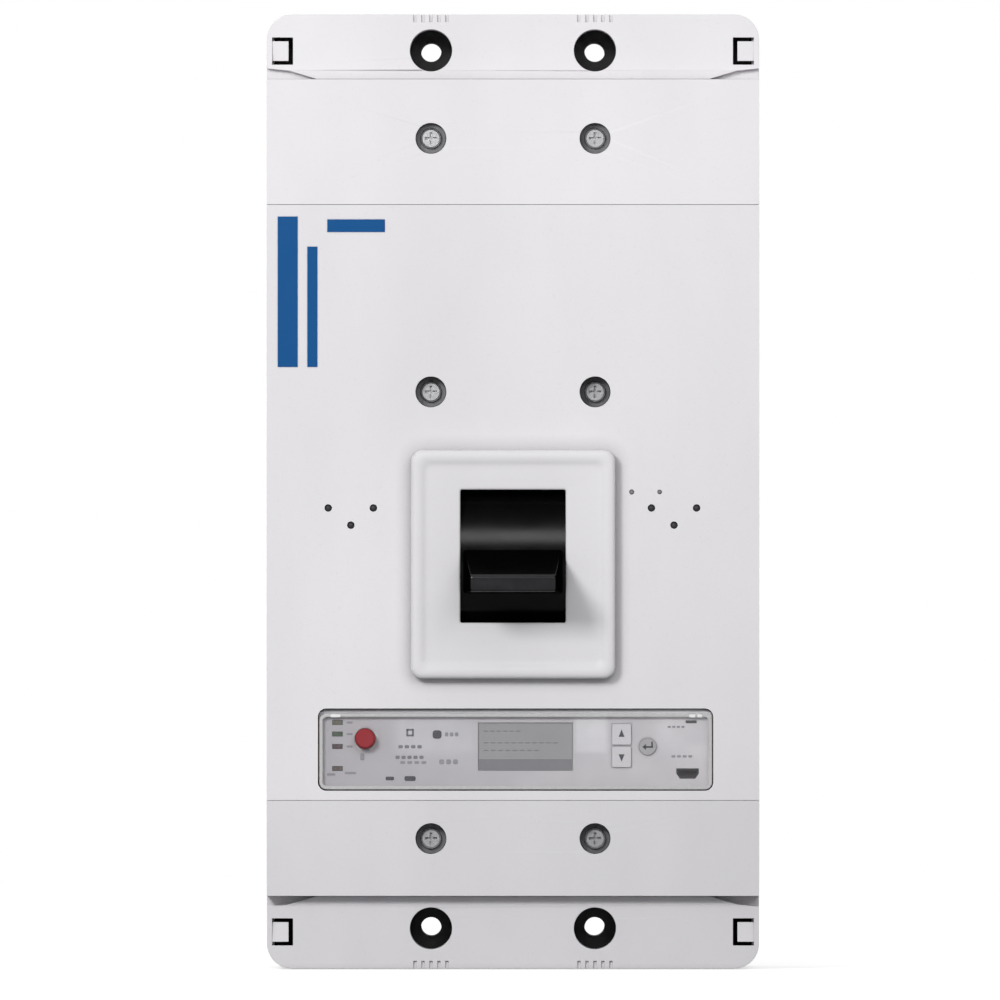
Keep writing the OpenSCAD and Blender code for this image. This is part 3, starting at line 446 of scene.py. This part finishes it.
def piece(name, bm, look, body, smooth=35):
    bmesh.ops.remove_doubles(bm, verts=bm.verts, dist=1e-7)
    bmesh.ops.recalc_face_normals(bm, faces=bm.faces)
    mesh = bpy.data.meshes.new(name)
    bm.to_mesh(mesh)
    bm.free()
    mesh.materials.append(M[look])
    if smooth:
        for face in mesh.polygons:
            face.use_smooth = True
        mesh.set_sharp_from_angle(angle=math.radians(smooth))
    obj = bpy.data.objects.new(name, mesh)
    bpy.context.scene.collection.objects.link(obj)
    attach(obj, body)
    return obj


def bridge(bm, loops, cap_first=True, cap_last=True):
    """Quads between equal loops of points, with end caps."""
    rings = [[bm.verts.new(p) for p in loop] for loop in loops]
    for a, b in zip(rings, rings[1:]):
        for i in range(len(a)):
            j = (i + 1) % len(a)
            bm.faces.new((a[i], a[j], b[j], b[i]))
    if cap_first:
        bm.faces.new(rings[0][::-1])
    if cap_last:
        bm.faces.new(rings[-1])
    return rings


def rounded(cx, cz, w, h, r, steps=6):
    """Outline of a rectangle with round corners, as (x, z) points."""
    points = []
    for sx, sz, start in ((1, 1, 0), (-1, 1, 90), (-1, -1, 180), (1, -1, 270)):
        for k in range(steps + 1):
            a = math.radians(start + 90 * k / steps)
            points.append((cx + sx * (w / 2 - r) + r * math.cos(a),
                           cz + sz * (h / 2 - r) + r * math.sin(a)))
    return points


def disc(cx, cz, r, steps=28):
    return [(cx + r * math.cos(2 * math.pi * k / steps), cz + r * math.sin(2 * math.pi * k / steps))
            for k in range(steps)]


def inset(outline, amount):
    """The outline moved inward by amount, for small amounts."""
    n, moved = len(outline), []
    area = sum(az * bx - ax * bz for (ax, az), (bx, bz) in zip(outline[1:] + outline[:1], outline))
    side = 1 if area > 0 else -1
    for i in range(n):
        (ax, az), (bx, bz), (cx, cz) = outline[i - 1], outline[i], outline[(i + 1) % n]
        n1, n2 = Vector((az - bz, bx - ax)), Vector((bz - cz, cx - bx))
        n1, n2 = (v.normalized() if v.length > 1e-9 else v for v in (n1, n2))
        normal = (n1 + n2) * side
        if normal.length > 1e-9:
            normal = normal.normalized() / max(0.5, (n1 + n2).length / 2)
        moved.append((bx + normal.x * amount, bz + normal.y * amount))
    return moved


def slab(bm, outline, back, front, soft=0.0):
    """A closed plate from depth back to depth front, with its front edge rounded by soft."""
    loops = [[at(x, z, back) for x, z in outline], [at(x, z, front - soft) for x, z in outline]]
    if soft:
        for k in (1, 2, 3):
            a = math.radians(30 * k)
            ring = inset(outline, soft * (1 - math.cos(a)))
            loops.append([at(x, z, front - soft + soft * math.sin(a)) for x, z in ring])
    bridge(bm, loops)


def ring(bm, outer, inner, back, front):
    """A closed frame between two outlines of as many points."""
    n = len(outer)
    rows = [[bm.verts.new(at(x, z, d)) for x, z in line]
            for line, d in ((outer, back), (outer, front), (inner, front), (inner, back))]
    for a in range(4):
        b = (a + 1) % 4
        for i in range(n):
            j = (i + 1) % n
            bm.faces.new((rows[a][i], rows[a][j], rows[b][j], rows[b][i]))


def line(bm, points, width, back, front):
    """A printed line through (x, z) points, as one closed plate per stretch."""
    for (ax, az), (bx, bz) in zip(points, points[1:]):
        way = Vector((bx - ax, bz - az)).normalized() * width / 2
        nx, nz = -way.y, way.x
        corners = [(ax - way.x + nx, az - way.y + nz), (ax - way.x - nx, az - way.y - nz),
                   (bx + way.x - nx, bz + way.y - nz), (bx + way.x + nx, bz + way.y + nz)]
        slab(bm, corners, back, front)


# ---------------------------------------------------------------- bezel

# Outlines are (middle x, middle z, width, height, corner radius).
OPENING = (0, -27.5, 44.8, 56.6)
POCKET = (0, -27.5, 60.6, 68, 2)
FOOT_POCKET = (0, -27.5, 65.6, 71.6, 3)
CORNER = 5
FOOT_DROP = 7.9
POCKET_DROP = 3.3
# Pairs of (distance in from the outer edge, distance below the crown).
CROWN = ((0, 2.4), (0.15, 1.5), (0.55, 0.75), (1.2, 0.25), (2.1, 0), (3.4, 0.02), (4.6, 0.22),
         (5.5, 0.62), (6.2, 0.9), (7.2, 1.02), (9, 1.04))
# Pairs of (distance out from the opening's edge, distance below the crown).
LIP = ((1.2, 1.0), (0.6, 1.05), (0.2, 1.25), (0, 1.6), (0, POCKET_DROP))


def bezel_loops():
    """Section of the bezel as outlines, from its outer foot over the crown and back inside."""
    low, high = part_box("bezel")
    w, h = (high.x - low.x) / MM, (high.z - low.z) / MM
    cx, cz = (high.x + low.x) / 2 / MM, (high.z + low.z) / 2 / MM
    back, front = -high.y / MM, -low.y / MM
    foot = front - FOOT_DROP
    loops = [(cx, cz, w, h, CORNER, foot)]
    for inward, below in CROWN:
        corner = max(CORNER - 0.35 * inward, 1.6)
        loops.append((cx, cz, w - 2 * inward, h - 2 * inward, corner, front - below))
    ox, oz, ow, oh = OPENING
    for grow, below in LIP:
        loops.append((ox, oz, ow + 2 * grow, oh + 2 * grow, 0.8 + grow, front - below))
    loops.append((*POCKET, front - POCKET_DROP))
    loops.append((*POCKET, back))
    loops.append((*FOOT_POCKET, back))
    loops.append((*FOOT_POCKET, foot))
    return loops


def bezel_frame():
    bm = bmesh.new()
    loops = [[at(x, z, d) for x, z in rounded(*outline, 8)] for *outline, d in bezel_loops()]
    bridge(bm, loops + loops[:1], False, False)
    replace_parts(piece("bezel_frame", bm, "bezel", "case"), "bezel")


bezel_frame()

# ---------------------------------------------------------------- handle

PIVOT = (-27.5, 74)  # (z, d) of the handle's shaft
REST = math.radians(6.2)
BARREL_R = 62
BARREL_WALL = 4
GRIP_FOOT = 58.6
REACH = 106.45


def from_pivot(x, r, t):
    """A point at radius r along the handle's middle line and t above it, at rest."""
    return at(x, PIVOT[0] + t * math.cos(REST) - r * math.sin(REST),
              PIVOT[1] + r * math.cos(REST) + t * math.sin(REST))


def handle_barrel():
    """Curved skirt that closes the bezel's opening behind the lever."""
    bm = bmesh.new()
    angles = [math.radians(-44 + 2 * k) for k in range(45)]
    loops = []
    for x, thin in ((-26, 0.5), (-25.5, 0), (25.5, 0), (26, 0.5)):
        radii = [(BARREL_R - thin, a) for a in angles]
        radii += [(BARREL_R - BARREL_WALL, a) for a in reversed(angles)]
        loops.append([from_pivot(x, r * math.cos(a), r * math.sin(a)) for r, a in radii])
    bridge(bm, loops)
    return piece("handle_barrel", bm, "handle", "handle_arm")


def handle_grip():
    """Lever that thins in a concave sweep to a flat tip, with round edges."""
    bm = bmesh.new()
    radii = (GRIP_FOOT, 60, 61, 62, 64, 67, 71, 76, 82, 88, 94, 99, 103, 105.3)
    stations = [(r, 0.0) for r in radii]
    stations += [(105.9, 0.2), (106.3, 0.55), (REACH, 1.1)]
    loops = []
    for r, inward in stations:
        thick = 3.65 + 6.25 * (max(REACH - r, 0) / 48) ** 1.6 - inward
        half = 21.3 - 2.5 * ((r - GRIP_FOOT) / 48) - inward
        edge = min(1.3, thick - 0.1)
        loops.append([from_pivot(x, r, t) for x, t in rounded(0, 0, 2 * half, 2 * thick, edge, 5)])
    bridge(bm, loops)
    return piece("handle_grip", bm, "handle", "handle_arm", 50)


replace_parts(handle_barrel(), "handle")
handle_grip()

# ---------------------------------------------------------------- small hardware


COVER_FACE = 130.35
# Section of a dark ring that paints the shade in a screw's counterbore, as (radius, depth).
SHADE_RING_SECTION = ((6.5, 121.05), (6.5, 121.45), (6.3, 121.6), (4.6, 121.6), (4.4, 121.45), (4.4, 121.05))


def paint_counterbore_shade():
    """Dark rings under the heads of the six cover screws, painting the shade in their counterbores.
    """
    bm = bmesh.new()
    for x in (-POLE / 2, POLE / 2):
        for z in (150.3, 42.4, -147.7):
            loops = [[at(px, pz, d) for px, pz in disc(x, z, r, 40)] for r, d in SHADE_RING_SECTION]
            bridge(bm, loops + loops[:1], False, False)
    piece("screw_shade_rings", bm, "shade_ring_dark", "case")


def dome(bm, x, z, r, back, front):
    """A pip with a straight side and a domed top."""
    rise = min(r, front - back)
    loops = [[at(px, pz, back) for px, pz in disc(x, z, r, 24)]]
    for k in range(6):
        a = math.radians(15 * k)
        depth = front - rise + rise * math.sin(a)
        loops.append([at(px, pz, depth) for px, pz in disc(x, z, r * math.cos(a), 24)])
    bridge(bm, loops)


def pips():
    """Small marker pips on both sides of the bezel."""
    big, small = bmesh.new(), bmesh.new()
    for middle in (-69, 68.5):
        for dx, z in ((-9.6, -7), (0, -14.3), (9.6, -7)):
            dome(big, middle + dx, z, 1.55, COVER_FACE, COVER_FACE + 1.5)
    for x, r in ((50.5, 1.05), (62.4, 0.95)):
        dome(small, x, -0.2, r, COVER_FACE, COVER_FACE + 1.25)
    piece("marker_pips", big, "dark", "case")
    piece("marker_pips_small", small, "ink_mid", "case")


paint_counterbore_shade()
pips()

# ---------------------------------------------------------------- trip unit's printed marks

PANEL_FACE = 128.4
KEY_FACE = 129.3
DISPLAY_FACE = 127.6
INK = 0.045


def plates(name, look, body, rects, back):
    """Thin printed rectangles, each (x0, x1, z0, z1)."""
    bm = bmesh.new()
    for x0, x1, z0, z1 in rects:
        w, h = x1 - x0, z1 - z0
        slab(bm, rounded((x0 + x1) / 2, (z0 + z1) / 2, w, h, min(w, h) * 0.3, 2), back, back + INK)
    piece(name, bm, look, body, 0)


def dashes(x0, x1, z, height, count):
    """A row of count equal dashes from x0 to x1."""
    step = (x1 - x0) / count
    return [(x0 + k * step, x0 + (k + 0.7) * step, z, z + height) for k in range(count)]


plates("panel_marks_pale", "ink_pale", "case",
       dashes(-48, -36, -115.9, 1.2, 4) + dashes(-31.4, -22.5, -116.1, 2.1, 3)
       + dashes(-29, -22.6, -104.2, 1.7, 3) + dashes(65.8, 73.6, -100.6, 0.9, 4)
       + dashes(67.4, 77, -113.2, 1, 4) + [(-65, -63.2, -114.4, -111.4)]
       + [(-70.8, -68.2, z - 0.45, z + 0.45) for z in (-98.3, -103.2, -108.5)]
       + [(-79.2, -75.6, -120.9, -119.9), (-71.6, -66.8, -120.3, -119.3)], PANEL_FACE)
plates("panel_marks_mid", "ink_mid", "case",
       [(-45.4, -42.2, -104.2, -103.4), (-45.4, -44.6, -104.2, -101), (-43, -42.2, -104.2, -101),
        (-45.4, -42.2, -101.8, -101)]
       + dashes(-50, -37.3, -113.8, 1.4, 5) + dashes(-48.8, -38, -109.3, 1.4, 4), PANEL_FACE)
plates("panel_marks_dark", "ink_dark", "case",
       [(-34.2, -30.4, -105.2, -101.6), (-54.2, -50.6, -122.9, -121.3),
        (-46.2, -41.4, -123.2, -121.1), (73.4, 78.2, -98.6, -97.4)], PANEL_FACE)


def key_arrow(name, body, x, z, way):
    bm = bmesh.new()
    outline = [(x - 1.25, z - 1.5 * way), (x + 1.25, z - 1.5 * way), (x, z + 1.7 * way)]
    slab(bm, outline, KEY_FACE, KEY_FACE + INK)
    piece(name, bm, "ink_dark", body, 0)


def enter_mark():
    """Bent arrow, drawn as two strokes and a head."""
    x, z = 57.3, -108.5
    bm = bmesh.new()
    faces = KEY_FACE, KEY_FACE + INK
    line(bm, [(x + 1.9, z + 1.7), (x + 1.9, z - 0.2)], 0.75, *faces)
    line(bm, [(x + 1.9, z - 0.2), (x - 0.9, z - 0.2)], 0.75, *faces)
    slab(bm, [(x - 0.7, z + 1.1), (x - 2.3, z - 0.2), (x - 0.7, z - 1.5)], *faces)
    piece("enter_arrow", bm, "ink_dark", "enter_key", 0)


key_arrow("up_arrow", "up_key", 46.2, -102.9, 1)
key_arrow("down_arrow", "down_key", 46.2, -113.3, -1)
enter_mark()


def display_marks():
    """The display's darker footer, with a few blank segments above it."""
    bm = bmesh.new()
    slab(bm, rounded(5.3, -116.2, 39.6, 4.6, 0.4, 3), DISPLAY_FACE, DISPLAY_FACE + INK)
    piece("display_footer", bm, "display_dark", "case", 0)
    plates("display_segments", "display_dark", "case",
           dashes(-12.5, 4, -102.2, 0.5, 6) + dashes(-12.5, 20, -107.2, 0.5, 11)
           + dashes(-12.5, 12, -110.4, 0.5, 8), DISPLAY_FACE)


display_marks()


def window_border():
    """Grey band of painted shade along the clear window's edge, and small white plates that paint
    glints on the window.
    """
    low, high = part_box("trip_window")
    front = -low.y / MM
    x0, x1 = low.x / MM + 2.3, high.x / MM - 2.3
    z0, z1 = low.z / MM + 0.15, -94.5
    cx, cz, w, h = (x0 + x1) / 2, (z0 + z1) / 2, x1 - x0, z1 - z0
    # Painted shade: the grey band stands in for the shade of the gap round the window.
    band = 1.25
    bm = bmesh.new()
    ring(bm, rounded(cx, cz, w, h, 2.9, 6), rounded(cx, cz, w - 2 * band, h - 2 * band, 1.9, 6),
         front - 0.01, front + INK)
    piece("window_border", bm, "painted_gap_shade", "window", 0)
    # Painted highlights: small white plates that paint glints near the window's top corners.
    plates("window_painted_glints", "painted_glint_white", "window",
           [(75, 77.6, -96.1, -94.8), (78.4, 80.4, -96.1, -94.8), (-77.6, -73.4, -96, -94.8)],
           front + INK)


window_border()

# ---------------------------------------------------------------- stage, light, camera


def camera_rays(tree):
    return tree.nodes.new("ShaderNodeLightPath").outputs["Is Camera Ray"]


def floor():
    """Pale floor that stays bright to the camera and keeps a weak contact shadow."""
    bm = bmesh.new()
    z = cad_low.z - 0.0005
    bm.faces.new([bm.verts.new((x, y, z)) for x, y in ((-4, -4), (4, -4), (4, 3), (-4, 3))])
    mesh = bpy.data.meshes.new("floor")
    bm.to_mesh(mesh)
    bm.free()
    obj = bpy.data.objects.new("floor", mesh)
    bpy.context.scene.collection.objects.link(obj)
    s = Shader("floor")
    lit = s.add("ShaderNodeBsdfDiffuse")
    s.feed(lit.inputs["Color"], s.mix(camera_rays(s.tree), (0.34, 0.34, 0.35), (0.9, 0.9, 0.9)))
    glow = s.add("ShaderNodeEmission")
    s.feed(glow.inputs["Strength"], s.math("MULTIPLY", camera_rays(s.tree), 0.62))
    both = s.add("ShaderNodeAddShader")
    s.feed(both.inputs[0], lit.outputs[0])
    s.feed(both.inputs[1], glow.outputs[0])
    s.feed(s.out.inputs["Surface"], both.outputs[0])
    mesh.materials.append(s.mat)


def softbox(name, place, target, size, power):
    light = bpy.data.lights.new(name, "AREA")
    light.shape = "RECTANGLE"
    light.size, light.size_y = size
    light.energy = power
    obj = bpy.data.objects.new(name, light)
    obj.location = place
    obj.rotation_euler = (Vector(target) - Vector(place)).to_track_quat("-Z", "Y").to_euler()
    bpy.context.scene.collection.objects.link(obj)
    return obj


def studio():
    """White to the camera. Lights the object brighter from above, and mirrors dark in front."""
    world = bpy.data.worlds.new("studio")
    bpy.context.scene.world = world
    world.use_nodes = True
    tree = world.node_tree
    background = tree.nodes["Background"]
    background.inputs["Color"].default_value = (1, 1, 1, 1)
    split = tree.nodes.new("ShaderNodeSeparateXYZ")
    tree.links.new(tree.nodes.new("ShaderNodeTexCoord").outputs["Generated"], split.inputs[0])

    def ramp(axis, *values):
        node = tree.nodes.new("ShaderNodeMapRange")
        tree.links.new(split.outputs[axis], node.inputs[0])
        for i, value in enumerate(values, start=1):
            node.inputs[i].default_value = value
        return node.outputs["Result"]

    def choose(ray, usual, special):
        node = tree.nodes.new("ShaderNodeMix")
        paths = tree.nodes.new("ShaderNodeLightPath")
        tree.links.new(paths.outputs[ray], node.inputs["Factor"])
        tree.links.new(usual, node.inputs[2])
        if isinstance(special, bpy.types.NodeSocket):
            tree.links.new(special, node.inputs[3])
        else:
            node.inputs[3].default_value = special
        return node.outputs[0]

    diffuse = ramp("Z", -0.3, 0.5, 0.25, 0.43)
    mirrored = ramp("Y", -0.55, 0.1, 0.05, 0.6)
    strength = choose("Is Camera Ray", choose("Is Glossy Ray", diffuse, mirrored), 1.0)
    tree.links.new(strength, background.inputs["Strength"])


def camera():
    """Straight from the front, far away so that the view is nearly parallel."""
    distance, frame_width, cover_face = 14, 0.4255, 0.13
    data = bpy.data.cameras.new("camera")
    data.sensor_width = 36
    data.lens = data.sensor_width * (distance - cover_face) / frame_width
    obj = bpy.data.objects.new("camera", data)
    obj.location = (-0.00553, -distance, -0.0036)
    obj.rotation_euler = (math.radians(90), 0, 0)
    bpy.context.scene.collection.objects.link(obj)
    bpy.context.scene.camera = obj


floor()
studio()
camera()
softbox("key", (-0.68, -1.7, 0.6), (0, -0.13, -0.02), (0.36, 0.36), 15.8)
softbox("strip", (0, -2.4, 0.62), (0, -0.14, -0.02), (1.2, 0.36), 8.5)
softbox("front_fill", (0.6, -1.7, 0.6), (0, -0.13, 0), (0.6, 0.6), 3.6).visible_glossy = False
bpy.context.scene.view_settings.view_transform = "Standard"
